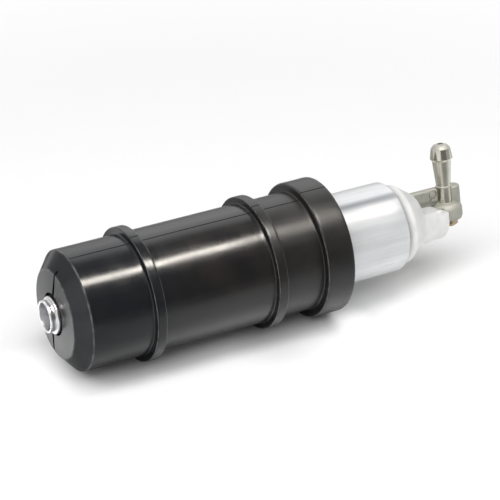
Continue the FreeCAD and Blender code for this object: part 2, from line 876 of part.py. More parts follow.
def valve_seat():
    top = check_seat_height + check_seat_thickness
    ring = upright_rod(check_seat_height, top, check_seat_radius, fitting_place)
    ring = ring.cut(upright_rod(check_seat_height - 1, top + 1, check_seat_bore, fitting_place))
    return about_axis(ring, fitting_clock)


def check_ball():
    ball = Part.makeSphere(check_ball_radius, Vector(fitting_place, 0, check_centre))
    return about_axis(ball, fitting_clock)


def check_spring():
    spring = coil(spring_foot, spring_top, check_ball_radius * 0.8, check_wire / 2, check_turns)
    spring.translate(Vector(fitting_place, 0, 0))
    return about_axis(spring, fitting_clock)


def screw_plug():
    head_top = chamber_bottom - crush_washer
    head = turned_upright([
        (0, head_top - screw_plug_head), (screw_plug_radius, head_top - screw_plug_head, 0.4),
        (screw_plug_radius, head_top), (0, head_top)], fitting_place)
    shank = upright_rod(head_top - 0.5, chamber_bottom + 1.6, check_bore, fitting_place)
    body = head.fuse(shank)
    body = body.cut(upright_rod(chamber_bottom, chamber_bottom + 4, check_bore - 1.2, fitting_place))
    slot = block(fitting_place - 10, fitting_place + 10, -0.6, 0.6,
                 head_top - screw_plug_head - 1, head_top - screw_plug_head + 0.9)
    return about_axis(body.cut(slot).removeSplitter(), fitting_clock)


def crush_washer_ring():
    ring = upright_rod(chamber_bottom - crush_washer, chamber_bottom, screw_plug_radius + 0.3,
                       fitting_place)
    ring = ring.cut(upright_rod(chamber_bottom - 5, chamber_bottom + 1, check_bore, fitting_place))
    return about_axis(ring, fitting_clock)


def spigot_seal():
    place = cap_tip - spigot_depth + 2.0 + 1.2 * spigot_ring_wire
    ring = sealing_ring(place, spigot_radius + sliding_play, spigot_ring_wire)
    ring.translate(Vector(0, 0, -spigot_drop))
    return about_axis(ring, fitting_clock)


os.makedirs("parts", exist_ok=True)
relief_ball, relief_spring, relief_retainer = relief_parts()
magnet_near, magnet_far = magnets()

pieces = {
    "rubber_sleeve": rubber_sleeve(),
    "pump_can": pump_can(),
    "inlet_cover": inlet_cover(),
    "eccentric_ring": eccentric_ring(),
    "inner_rotor": inner_rotor(),
    "outer_rotor": outer_rotor(),
    "port_plate": port_plate(),
    "front_bush": front_bush(),
    "stage_screws": stage_screws(),
    "relief_ball": relief_ball,
    "relief_spring": relief_spring,
    "relief_retainer": relief_retainer,
    "flux_ring": flux_ring(),
    "magnet_near": magnet_near,
    "magnet_far": magnet_far,
    "magnet_clips": magnet_clips(),
    "shaft": shaft(),
    "lamination_core": lamination_core(),
    "windings": windings(),
    "commutator": commutator(),
    "commutator_hub": commutator_hub(),
    "thrust_washers": thrust_washers(),
    "brush_holder": brush_holder(),
    "rear_bush": rear_bush(),
    "brush_upper": brush(),
    "brush_lower": about_axis(brush(), 180),
    "brush_spring_upper": brush_spring(),
    "brush_spring_lower": about_axis(brush_spring(), 180),
    "contact_strip_positive": contact_strip(0, positive_angle + fitting_clock, positive_stud),
    "contact_strip_negative": contact_strip(180, negative_angle + fitting_clock, negative_stud),
    "end_cap": end_cap(),
    "cap_seal": cap_seal(),
    "terminal_stud_positive": terminal_stud(0),
    "terminal_stud_negative": terminal_stud(1),
    "terminal_nuts": terminal_nuts(),
    "terminal_washers": terminal_washers(),
    "outlet_elbow": outlet_elbow(),
    "side_plug": side_plug(),
    "spigot_seal": spigot_seal(),
    "valve_seat": valve_seat(),
    "check_ball": check_ball(),
    "check_spring": check_spring(),
    "screw_plug": screw_plug(),
    "crush_washer": crush_washer_ring(),
}

for name, shape in pieces.items():
    write(name, shape)
    print(name, "valid" if shape.isValid() else "NOT VALID", round(shape.Volume, 1))
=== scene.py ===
import json
import math
import bmesh
import bpy
from mathutils import Matrix, Vector


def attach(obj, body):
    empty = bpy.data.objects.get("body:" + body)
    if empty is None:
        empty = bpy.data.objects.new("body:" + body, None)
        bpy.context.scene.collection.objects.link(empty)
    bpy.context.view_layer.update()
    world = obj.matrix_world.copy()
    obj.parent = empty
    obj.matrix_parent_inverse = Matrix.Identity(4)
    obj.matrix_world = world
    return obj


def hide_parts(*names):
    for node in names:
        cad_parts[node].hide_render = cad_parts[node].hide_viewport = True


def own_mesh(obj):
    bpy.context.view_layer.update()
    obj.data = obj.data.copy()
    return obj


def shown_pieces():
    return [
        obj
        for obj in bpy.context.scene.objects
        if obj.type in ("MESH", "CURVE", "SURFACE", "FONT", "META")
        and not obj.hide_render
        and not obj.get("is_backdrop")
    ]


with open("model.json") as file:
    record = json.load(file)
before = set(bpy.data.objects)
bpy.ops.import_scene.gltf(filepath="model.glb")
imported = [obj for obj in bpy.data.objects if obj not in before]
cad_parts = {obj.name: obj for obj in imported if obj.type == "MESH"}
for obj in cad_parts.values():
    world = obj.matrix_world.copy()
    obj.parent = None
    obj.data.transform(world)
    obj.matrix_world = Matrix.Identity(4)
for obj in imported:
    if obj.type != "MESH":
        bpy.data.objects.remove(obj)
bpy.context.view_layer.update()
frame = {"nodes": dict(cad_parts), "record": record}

mm = 0.001
nodes = frame["nodes"]

# The outlet fitting is turned a little about the pump's axis
fittingClock = 13.5
clockTurn = Matrix.Rotation(math.radians(-fittingClock), 4, "X")


# Camera, floor and light. The camera stands where the photograph was taken from.

photoView = {
    "place": (-318.34, -781.83, 507.21),
    "right": (0.882304, -0.470679, 0.0),
    "down": (-0.231516, -0.433984, -0.870666),
    "forward": (0.409804, 0.768192, -0.491875),
    "lens": 159.85,
}


def makeCamera():
    data = bpy.data.cameras.new("photoCamera")
    data.sensor_width = 36
    data.lens = photoView["lens"]
    data.clip_start = 0.01
    camera = bpy.data.objects.new("photoCamera", data)
    right, down, forward = (Vector(photoView[k]) for k in ("right", "down", "forward"))
    turn = Matrix((right, -down, -forward)).transposed().to_4x4()
    camera.matrix_world = Matrix.Translation(Vector(photoView["place"]) * mm) @ turn
    bpy.context.scene.collection.objects.link(camera)
    bpy.context.scene.camera = camera


# Places on the floor are in metres, and the world's edges are parts of a unit direction
studio = {
    "floorHeight": -32.0,
    "floorSize": 8.0,
    "floorShade": 0.86,
    "floorCentre": 0.1,
    "fadeStart": 0.18,
    "fadeEnd": 0.45,
    # Round patches of painted light and painted shadow on the paper, paler or darker: along, across, reach,
    # gain
    "paintedLightPatches": [(-0.004, 0.006, 0.036, 0.42), (0.138, -0.0185, 0.016, 0.40), (0.100, -0.020, 0.028, -0.20)],
    # Painted light and shade of the floor as the pump mirrors it, with a painted dark strip for the shadow
    # close under it: a first shade far in front, then from, to and change of it
    "mirrorStart": 0.22,
    "mirrorFront": [(-0.20, -0.06, 0.63), (-0.05, -0.03, 0.30), (-0.024, -0.014, -0.6)],
    "mirrorBack": [(0.0, 0.01, 0.6), (0.02, 0.07, -0.75)],
    # In front of the pump the mirrored floor is painted darker towards the nose: from, to, factor at the
    # nose
    "mirrorNose": (0.01, 0.09, 0.62),
    # Left of the pump: the soft edge, then from, to, first and last change
    "mirrorLeftEdge": (-0.010, 0.002),
    "mirrorLeft": (-0.03, 0.01, -0.20, 0.58),
    # Tall pale cards in front: bearing, half width, half width with the soft edge, shade
    "cards": [(-57, 16, 32, 1.1), (58, 22, 34, 0.45)],
    "cardTop": (0.40, 0.58),
    "cardFloorEdge": (0.20, 0.26),
    "barbPlace": 0.205,
    # The room as the pump mirrors it
    "behind": (-0.20, 0.35),
    "wallTop": (0.74, 0.86),
    "wallFade": (0.10, 0.45),
    "wallShade": (0.8, 1.6),
    "wallLeftFade": (-0.60, 0.15),
    "wallLeftShade": 0.42,
    "leftWallEdge": (-0.90, -0.76),
    "leftWall": 1.1,
    "cameraSide": 0.12,
    "ceilingEdge": (0.60, 0.80),
    "ceilingFade": (0.05, 0.33),
    "ceilingShade": (0.95, 0.34),
    # The even light on everything that isn't a mirror
    "ambient": 0.36,
}

# The strip is what the pump mirrors, and the two boxes are what light it
lamps = {
    "stripSoftbox": {"place": (0.20, -0.325, 1.12), "size": (0.80, 0.19), "watts": 17.0,
                     "tint": (1.0, 0.95, 0.87), "mirrored": True},
    "overheadSoftbox": {"place": (-0.18, -0.25, 1.17), "size": (2.4, 0.38), "watts": 13.8,
                        "tint": (1.0, 1.0, 1.0), "mirrored": False},
    "frontSoftbox": {"place": (-0.18, -0.72, 0.99), "size": (2.4, 0.67), "watts": 11.4,
                     "tint": (1.0, 1.0, 1.0), "mirrored": False},
}
lampTarget = (0.09, 0, 0)


def link(tree, fromSocket, toSocket):
    tree.links.new(fromSocket, toSocket)


def mathNode(tree, operation, first, second=None, clamp=False):
    node = tree.nodes.new("ShaderNodeMath")
    node.operation = operation
    node.use_clamp = clamp
    for socket, value in zip(node.inputs, (first, second)):
        if value is None:
            continue
        if isinstance(value, (int, float)):
            socket.default_value = value
        else:
            link(tree, value, socket)
    return node.outputs[0]


def rangeNode(tree, value, fromLow, fromHigh, toLow, toHigh, smooth=False):
    node = tree.nodes.new("ShaderNodeMapRange")
    if smooth:
        node.interpolation_type = "SMOOTHSTEP"
    node.inputs["From Min"].default_value = fromLow
    node.inputs["From Max"].default_value = fromHigh
    node.inputs["To Min"].default_value = toLow
    node.inputs["To Max"].default_value = toHigh
    link(tree, value, node.inputs["Value"])
    return node.outputs["Result"]


# A first value, and what is added to it from one place to the next
def steppedNode(tree, value, first, steps):
    total = first
    for low, high, change in steps:
        total = mathNode(tree, "ADD", total, rangeNode(tree, value, low, high, 0, change))
    return total


def splitNode(tree, place):
    parts = tree.nodes.new("ShaderNodeSeparateXYZ")
    link(tree, place, parts.inputs[0])
    return parts.outputs["X"], parts.outputs["Y"], parts.outputs["Z"]


def lengthNode(tree, first, second):
    return mathNode(tree, "SQRT", mathNode(tree, "ADD", mathNode(tree, "MULTIPLY", first, first),
                                           mathNode(tree, "MULTIPLY", second, second)))


def distanceNode(tree, place, point):
    node = tree.nodes.new("ShaderNodeVectorMath")
    node.operation = "DISTANCE"
    link(tree, place, node.inputs[0])
    node.inputs[1].default_value = point
    return node.outputs["Value"]


def scaledNode(tree, colour, factor):
    node = tree.nodes.new("ShaderNodeVectorMath")
    node.operation = "SCALE"
    link(tree, colour, node.inputs[0])
    link(tree, factor, node.inputs["Scale"])
    return node.outputs[0]


def mixedNode(tree, factor, first, second):
    node = tree.nodes.new("ShaderNodeMix")
    node.data_type = "RGBA"
    link(tree, factor, node.inputs["Factor"])
    link(tree, first, node.inputs[6])
    if isinstance(second, tuple):
        node.inputs[7].default_value = (*second, 1)
    else:
        link(tree, second, node.inputs[7])
    return node.outputs[2]


# Two tall pale cards far in front, left and right of the camera, by their bearing from the pump
def paleCards(tree, bearing):
    total = None
    for middle, full, none, shade in studio["cards"]:
        off = mathNode(tree, "ABSOLUTE", mathNode(tree, "SUBTRACT", bearing, math.radians(middle)))
        card = rangeNode(tree, off, math.radians(full), math.radians(none), shade, 0, True)
        total = mathNode(tree, "ADD", total, card) if total else card
    return total


# White to the camera. What the pump mirrors is a white wall behind it, a pale wall on its left, a
# ceiling and a dark room on the camera's side with two pale cards. The rest is lit evenly.
def makeWorld():
    world = bpy.data.worlds.new("studioWorld")
    bpy.context.scene.world = world
    world.use_nodes = True
    tree = world.node_tree
    background = tree.nodes["Background"]
    background.inputs["Color"].default_value = (1, 1, 1, 1)
    path = tree.nodes.new("ShaderNodeLightPath")
    direction = tree.nodes.new("ShaderNodeTexCoord")
    x, y, z = splitNode(tree, direction.outputs["Generated"])
    behind = rangeNode(tree, y, *studio["behind"], 0, 1, True)
    low = rangeNode(tree, z, *studio["wallTop"], 1, 0, True)
    wall = mathNode(tree, "MULTIPLY", behind, low)
    wallShade = rangeNode(tree, z, *studio["wallFade"], *studio["wallShade"], True)
    sideways = rangeNode(tree, x, *studio["wallLeftFade"], studio["wallLeftShade"], 1.0, True)
    wallShade = mathNode(tree, "MULTIPLY", wallShade, sideways)
    high = rangeNode(tree, z, *studio["ceilingEdge"], 0, 1, True)
    above = rangeNode(tree, x, *studio["ceilingFade"], *studio["ceilingShade"], True)
    lower = mathNode(tree, "MULTIPLY", mathNode(tree, "SUBTRACT", 1.0, high), studio["cameraSide"])
    side = mathNode(tree, "ADD", mathNode(tree, "MULTIPLY", high, above), lower)
    rest = mathNode(tree, "SUBTRACT", 1.0, wall)
    left = rangeNode(tree, x, *studio["leftWallEdge"], studio["leftWall"], 0.0, True)
    lit = mathNode(tree, "ADD", mathNode(tree, "MULTIPLY", wall, wallShade),
                   mathNode(tree, "MULTIPLY", rest, side))
    lit = mathNode(tree, "MAXIMUM", lit, mathNode(tree, "MULTIPLY", left, low))
    ahead = mathNode(tree, "MULTIPLY", y, -1.0)
    cards = paleCards(tree, mathNode(tree, "ARCTAN2", x, ahead))
    cards = mathNode(tree, "MULTIPLY", cards, rangeNode(tree, z, *studio["cardTop"], 1, 0, True))
    lit = mathNode(tree, "MAXIMUM", lit, cards)
    direct = path.outputs["Is Camera Ray"]
    mirrored = mathNode(tree, "ADD", path.outputs["Is Glossy Ray"],
                        path.outputs["Is Transmission Ray"], True)
    diffuse = mathNode(tree, "SUBTRACT", mathNode(tree, "SUBTRACT", 1.0, mirrored), direct, True)
    strength = mathNode(tree, "ADD", mathNode(tree, "MULTIPLY", mirrored, lit),
                        mathNode(tree, "MULTIPLY", diffuse, studio["ambient"]))
    link(tree, mathNode(tree, "ADD", direct, strength), background.inputs["Strength"])


# Pale paper that fades to white away from the pump
def makeFloor():
    bm = bmesh.new()
    bmesh.ops.create_grid(bm, x_segments=1, y_segments=1, size=studio["floorSize"] / 2)
    bmesh.ops.translate(bm, verts=bm.verts, vec=(0, 0, studio["floorHeight"] * mm))
    mesh = bpy.data.meshes.new("studioFloor")
    bm.to_mesh(mesh)
    bm.free()
    floor = bpy.data.objects.new("studioFloor", mesh)
    bpy.context.scene.collection.objects.link(floor)
    material = bpy.data.materials.new("studioFloorPaper")
    material.use_nodes = True
    tree = material.node_tree
    tree.nodes.remove(tree.nodes["Principled BSDF"])
    paper = tree.nodes.new("ShaderNodeBsdfDiffuse")
    shade = studio["floorShade"]
    place = tree.nodes.new("ShaderNodeTexCoord").outputs["Object"]
    x, y, _ = splitNode(tree, place)
    path = tree.nodes.new("ShaderNodeLightPath")
    seen = path.outputs["Is Camera Ray"]
    mirrored = path.outputs["Is Glossy Ray"]
    # Painted reflection: the floor's light and shade as the pump mirrors it
    inMirror = steppedNode(tree, y, studio["mirrorStart"], studio["mirrorFront"])
    noseStart, noseEnd, noseShade = studio["mirrorNose"]
    inMirror = mathNode(tree, "MULTIPLY", inMirror,
                        rangeNode(tree, x, noseStart, noseEnd, noseShade, 1.0, True))
    inMirror = steppedNode(tree, y, inMirror, studio["mirrorBack"])
    leftOfPump = rangeNode(tree, x, *studio["mirrorLeftEdge"], 1, 0, True)
    inMirror = mathNode(tree, "ADD", inMirror, mathNode(
        tree, "MULTIPLY", leftOfPump, rangeNode(tree, y, *studio["mirrorLeft"])))
    lit = shade
    height = studio["floorHeight"] * mm
    # Painted light and painted shadow: paler and darker round patches added to the paper's shade
    for along, across, reach, gain in studio["paintedLightPatches"]:
        away = distanceNode(tree, place, (along, across, height))
        lit = mathNode(tree, "ADD", lit, rangeNode(tree, away, 0, reach, gain * shade, 0, True))
    shown = mathNode(tree, "ADD", mathNode(tree, "MULTIPLY", mirrored, inMirror),
                     mathNode(tree, "MULTIPLY", mathNode(tree, "SUBTRACT", 1.0, mirrored), lit))
    link(tree, shown, paper.inputs["Color"])
    # Painted glow: the cards show in the far floor as well, where only the barb mirrors them
    ahead = mathNode(tree, "MULTIPLY", y, -1.0)
    across = mathNode(tree, "SUBTRACT", x, studio["barbPlace"])
    far = rangeNode(tree, lengthNode(tree, ahead, across), *studio["cardFloorEdge"], 0, 1, True)
    cards = mathNode(tree, "MULTIPLY", far, paleCards(tree, mathNode(tree, "ARCTAN2", across, ahead)))
    glow = tree.nodes.new("ShaderNodeEmission")
    link(tree, mathNode(tree, "MULTIPLY", mirrored, cards), glow.inputs["Strength"])
    near = tree.nodes.new("ShaderNodeAddShader")
    link(tree, paper.outputs[0], near.inputs[0])
    link(tree, glow.outputs[0], near.inputs[1])
    white = tree.nodes.new("ShaderNodeEmission")
    away = distanceNode(tree, place, (studio["floorCentre"], 0, height))
    fade = rangeNode(tree, away, studio["fadeStart"], studio["fadeEnd"], 0, 1, True)
    mix = tree.nodes.new("ShaderNodeMixShader")
    link(tree, mathNode(tree, "MULTIPLY", fade, seen), mix.inputs[0])
    link(tree, near.outputs[0], mix.inputs[1])
    link(tree, white.outputs[0], mix.inputs[2])
    link(tree, mix.outputs[0], tree.nodes["Material Output"].inputs["Surface"])
    mesh.materials.append(material)
    floor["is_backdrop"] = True


def makeLamps():
    target = Vector(lampTarget)
    for name, values in lamps.items():
        data = bpy.data.lights.new(name, "AREA")
        data.shape = "RECTANGLE"
        data.size, data.size_y = values["size"]
        data.energy = values["watts"]
        data.color = values["tint"]
        lamp = bpy.data.objects.new(name, data)
        place = Vector(values["place"])
        away = (place - target).normalized()
        along = Vector((1, 0, 0))
        across = away.cross(along).normalized()
        along = across.cross(away)
        turn = Matrix((along, across, away)).transposed().to_4x4()
        lamp.matrix_world = Matrix.Translation(place) @ turn
        lamp.visible_diffuse = not values["mirrored"]
        lamp.visible_glossy = values["mirrored"]
        bpy.context.scene.collection.objects.link(lamp)


makeCamera()
makeWorld()
makeFloor()
makeLamps()
bpy.context.scene.view_settings.view_transform = "Standard"
print("camera, floor and lamps are set")


# Finishes


def newFinish(name):
    material = bpy.data.materials.new(name)
    material.use_nodes = True
    tree = material.node_tree
    place = tree.nodes.new("ShaderNodeTexCoord")
    return material, tree, tree.nodes["Principled BSDF"], place.outputs["Object"]


def grain(tree, place, scale, stretch=(1, 1, 1), detail=3.0, roughness=0.55):
    mapping = tree.nodes.new("ShaderNodeMapping")
    mapping.inputs["Scale"].default_value = stretch
    link(tree, place, mapping.inputs["Vector"])
    noise = tree.nodes.new("ShaderNodeTexNoise")
    noise.inputs["Scale"].default_value = scale
    noise.inputs["Detail"].default_value = detail
    noise.inputs["Roughness"].default_value = roughness
    link(tree, mapping.outputs[0], noise.inputs["Vector"])
    return noise.outputs["Fac"]


def tint(tree, value, colours):
    ramp = tree.nodes.new("ShaderNodeValToRGB")
    steps = ramp.color_ramp.elements
    while len(steps) < len(colours):
        steps.new(0.5)
    for step, (place, colour) in zip(steps, colours):
        step.position = place
        step.color = (*colour, 1)
    link(tree, value, ramp.inputs[0])
    return ramp.outputs[0]


# Ramp places for two or more colours, spread over the middle of a noise
def spread(colours):
    return [(0.32 + 0.36 * i / (len(colours) - 1), colour) for i, colour in enumerate(colours)]


# A sum of (value, weight)
def weighted(tree, layers):
    total = None
    for value, weight in layers:
        part = mathNode(tree, "MULTIPLY", value, weight)
        total = mathNode(tree, "ADD", total, part) if total else part
    return total


def roughen(tree, shader, value, low, high):
    link(tree, rangeNode(tree, value, 0.3, 0.7, low, high), shader.inputs["Roughness"])


# Bumps of (value, strength, depth in millimetres), one on the other
def emboss(tree, shader, layers):
    normal = None
    for value, strength, depth in layers:
        bump = tree.nodes.new("ShaderNodeBump")
        bump.inputs["Strength"].default_value = strength
        bump.inputs["Distance"].default_value = depth * mm
        link(tree, value, bump.inputs["Height"])
        if normal:
            link(tree, normal, bump.inputs["Normal"])
        normal = bump.outputs[0]
    link(tree, normal, shader.inputs["Normal"])


# Moulded rubber of the sleeve. Places along X and radii are in millimetres.
sleeveLook = {
    "cool": [(0.0062, 0.0072, 0.0090), (0.0100, 0.0108, 0.0118)],
    "brown": [(0.0070, 0.0066, 0.0068), (0.0125, 0.0108, 0.0095)],
    # From, to
    "brownFrom": (34, 70),
    "polish": (0.13, 0.24),
    # From, to, added roughness
    "duller": [(36, 60, 0.02), (95, 100, 0.13)],
    # From, to, specular level at the nose and behind it
    "shine": (30, 45, 0.40, 0.50),
    # Edges painted pale as a highlight: place, half width, least radius
    "edges": [(7.3, 0.5, 27.4), (1.0, 0.5, 20.1), (36.6, 0.45, 30.9), (41.4, 0.45, 30.9),
              (97.4, 0.45, 30.9), (102.2, 0.45, 30.9), (122.5, 0.5, 31.4), (136.4, 0.6, 31.4)],
    "edgeHighlight": (0.085, 0.085, 0.088),
    "edgeHighlightPatches": (0.38, 0.62, 0.25, 1.0),
}


# Painted highlight: the sleeve's edges painted pale, broken into patches
def paintedEdgeHighlight(tree, place):
    x, y, z = splitNode(tree, place)
    radius = lengthNode(tree, y, z)
    edgeHighlight = None
    for along, width, inner in sleeveLook["edges"]:
        off = mathNode(tree, "ABSOLUTE", mathNode(tree, "SUBTRACT", x, along * mm))
        near = rangeNode(tree, off, width * 0.4 * mm, width * mm, 1, 0, True)
        outside = rangeNode(tree, radius, (inner - 0.1) * mm, inner * mm, 0, 1)
        edge = mathNode(tree, "MULTIPLY", near, outside)
        edgeHighlight = mathNode(tree, "ADD", edgeHighlight, edge) if edgeHighlight else edge
    paintedLightPatches = rangeNode(tree, grain(tree, place, 260, detail=3), *sleeveLook["edgeHighlightPatches"])
    return mathNode(tree, "MULTIPLY", edgeHighlight, paintedLightPatches, True)


# Cooler and glossier at the nose, browner and duller towards the flange
def sleeveDetail(tree, shader, place, clouds, colour, polish):
    x = splitNode(tree, place)[0]
    dark, light = sleeveLook["brown"]
    start, end = sleeveLook["brownFrom"]
    colour = mixedNode(tree, rangeNode(tree, x, start * mm, end * mm, 0, 1, True), colour,
                       tint(tree, clouds, [(0.35, dark), (0.7, light)]))
    # Painted highlight on the sleeve's edges
    colour = mixedNode(tree, paintedEdgeHighlight(tree, place), colour, sleeveLook["edgeHighlight"])
    start, end, nose, rear = sleeveLook["shine"]
    link(tree, rangeNode(tree, x, start * mm, end * mm, nose, rear, True),
         shader.inputs["Specular IOR Level"])
    for start, end, amount in sleeveLook["duller"]:
        dull = rangeNode(tree, x, start * mm, end * mm, 0, amount, True)
        polish = mathNode(tree, "ADD", polish, dull)
    return colour, polish


# Rubber with fine rings from the mould, lines along it and a cloudy bloom
def rubberFinish(name, colours, polished, detail=None):
    material, tree, shader, place = newFinish(name)
    clouds = grain(tree, place, 70, detail=4)
    rings = grain(tree, place, 60, (14, 0.5, 0.5), 4)
    lines = grain(tree, place, 55, (0.6, 9, 9), 4)
    fine = grain(tree, place, 1900, detail=2)
    dark, light = colours
    colour = tint(tree, clouds, [(0.35, dark), (0.7, light)])
    mixed = weighted(tree, [(clouds, 0.40), (rings, 0.25), (lines, 0.35)])
    polish = rangeNode(tree, mixed, 0.36, 0.62, *polished)
    if detail:
        colour, polish = detail(tree, shader, place, clouds, colour, polish)
    link(tree, colour, shader.inputs["Base Color"])
    link(tree, polish, shader.inputs["Roughness"])
    emboss(tree, shader, [(rings, 0.4, 0.02), (lines, 0.3, 0.02), (fine, 0.25, 0.010), (clouds, 0.4, 0.04)])
    return material


# Metal with marks along, round or across: stretch says how far they run
def metalFinish(name, colours, low, high, scale, stretch, bump):
    material, tree, shader, place = newFinish(name)
    marks = grain(tree, place, scale, stretch, 4, 0.6)
    blotches = grain(tree, place, 60, detail=4)
    both = weighted(tree, [(marks, 0.5), (blotches, 0.5)])
    link(tree, tint(tree, both, spread(colours)), shader.inputs["Base Color"])
    roughen(tree, shader, both, low, high)
    emboss(tree, shader, [(marks, 0.6, bump)])
    shader.inputs["Metallic"].default_value = 1.0
    return material


# Drawn can: satin aluminium with lines along it, cloudy patches and a painted dark reflection band along
# its top
canLook = {
    "dull": (0.54, 0.55, 0.56),
    "bright": (0.68, 0.685, 0.69),
    "paintedReflectionBand": (0.20, 0.21, 0.23),
    "reflectionBandAngle": 19.0,
    "reflectionBandWidth": 8.5,
    "metallic": 0.28,
    "roughness": (0.25, 0.38),
    # From, to, gain of painted light on the low side, as the pale floor throws it back
    "paintedFloorLight": (-14, -2, 1.2),
}


def canFinish(name):
    material, tree, shader, place = newFinish(name)
    lines = grain(tree, place, 230, (0.045, 1, 1), 5, 0.7)
    broad = grain(tree, place, 90, (0.06, 1, 1), 3)
    clouds = grain(tree, place, 60, detail=4)
    both = weighted(tree, [(lines, 0.5), (broad, 0.3), (clouds, 0.2)])
    colour = tint(tree, both, [(0.36, canLook["dull"]), (0.6, canLook["bright"])])
    _, y, z = splitNode(tree, place)
    # A painted dark reflection band along the top, at one angle round the can
    angle = mathNode(tree, "ARCTAN2", mathNode(tree, "MULTIPLY", y, -1.0), z)
    off = mathNode(tree, "SUBTRACT", angle, math.radians(canLook["reflectionBandAngle"]))
    off = mathNode(tree, "DIVIDE", mathNode(tree, "ABSOLUTE", off), math.radians(canLook["reflectionBandWidth"]))
    paintedReflectionBand = mathNode(tree, "MULTIPLY", rangeNode(tree, off, 0.1, 1.0, 1.0, 0.0, True),
                     rangeNode(tree, broad, 0.35, 0.6, 0.55, 1.0))
    colour = mixedNode(tree, paintedReflectionBand, colour, canLook["paintedReflectionBand"])
    # Painted light from the floor on the low side
    start, end, gain = canLook["paintedFloorLight"]
    colour = scaledNode(tree, colour, rangeNode(tree, z, start * mm, end * mm, gain, 1.0, True))
    link(tree, colour, shader.inputs["Base Color"])
    roughen(tree, shader, both, *canLook["roughness"])
    emboss(tree, shader, [(lines, 0.6, 0.03), (clouds, 0.3, 0.08)])
    shader.inputs["Metallic"].default_value = canLook["metallic"]
    return material


# Zinc plate with a yellow-green passivation: satin where it was cast, sharper where it was turned
fittingLook = {
    "cast": [(0.29, 0.30, 0.255), (0.35, 0.35, 0.305), (0.385, 0.365, 0.33)],
    "turned": [(0.50, 0.51, 0.44), (0.58, 0.57, 0.49), (0.62, 0.575, 0.52)],
    "satin": [(0.36, 0.365, 0.33), (0.42, 0.415, 0.375), (0.45, 0.43, 0.40)],
}


def fittingFinish(name, colours, metallic, low, high):
    material, tree, shader, place = newFinish(name)
    marks = grain(tree, place, 240, (1, 1, 0.4), 4, 0.6)
    blotches = grain(tree, place, 160, detail=4)
    both = weighted(tree, [(marks, 0.5), (blotches, 0.5)])
    link(tree, tint(tree, both, spread(colours)), shader.inputs["Base Color"])
    roughen(tree, shader, both, low, high)
    emboss(tree, shader, [(marks, 0.6, 0.02)])
    shader.inputs["Metallic"].default_value = metallic
    shader.inputs["Specular IOR Level"].default_value = 0.25
    return material


# Moulded cap with painted shade in the crease at the can's lip and painted light from the floor on its low
# side. From, to, gain.
capLook = {
    "creaseShade": (172.3, 176.5, 0.42),
    "paintedFloorLight": (-8, 10, 1.22),
}


def capShade(tree, place, colour):
    x, _, z = splitNode(tree, place)
    # Painted shade in the crease at the can's lip
    start, end, gain = capLook["creaseShade"]
    creaseShade = rangeNode(tree, x, start * mm, end * mm, gain, 1.0, True)
    # Painted light from the floor on the low side
    start, end, gain = capLook["paintedFloorLight"]
    low = rangeNode(tree, z, start * mm, end * mm, gain, 1.0, True)
    return scaledNode(tree, colour, mathNode(tree, "MULTIPLY", creaseShade, low))


# Plastic, ceramic and carbon
def plainFinish(name, colours, low, high, scale, bump, soft=0.0, shading=None):
    material, tree, shader, place = newFinish(name)
    blotches = grain(tree, place, scale, detail=4)
    fine = grain(tree, place, scale * 14, detail=2)
    colour = tint(tree, blotches, spread(colours))
    if shading:
        colour = shading(tree, place, colour)
    link(tree, colour, shader.inputs["Base Color"])
    roughen(tree, shader, blotches, low, high)
    emboss(tree, shader, [(blotches, 0.5, bump), (fine, 0.4, bump * 0.3)])
    if soft:
        shader.inputs["Subsurface Weight"].default_value = soft
        shader.inputs["Subsurface Radius"].default_value = (1.0, 0.95, 0.9)
        shader.inputs["Subsurface Scale"].default_value = 1.5 * mm
    return material


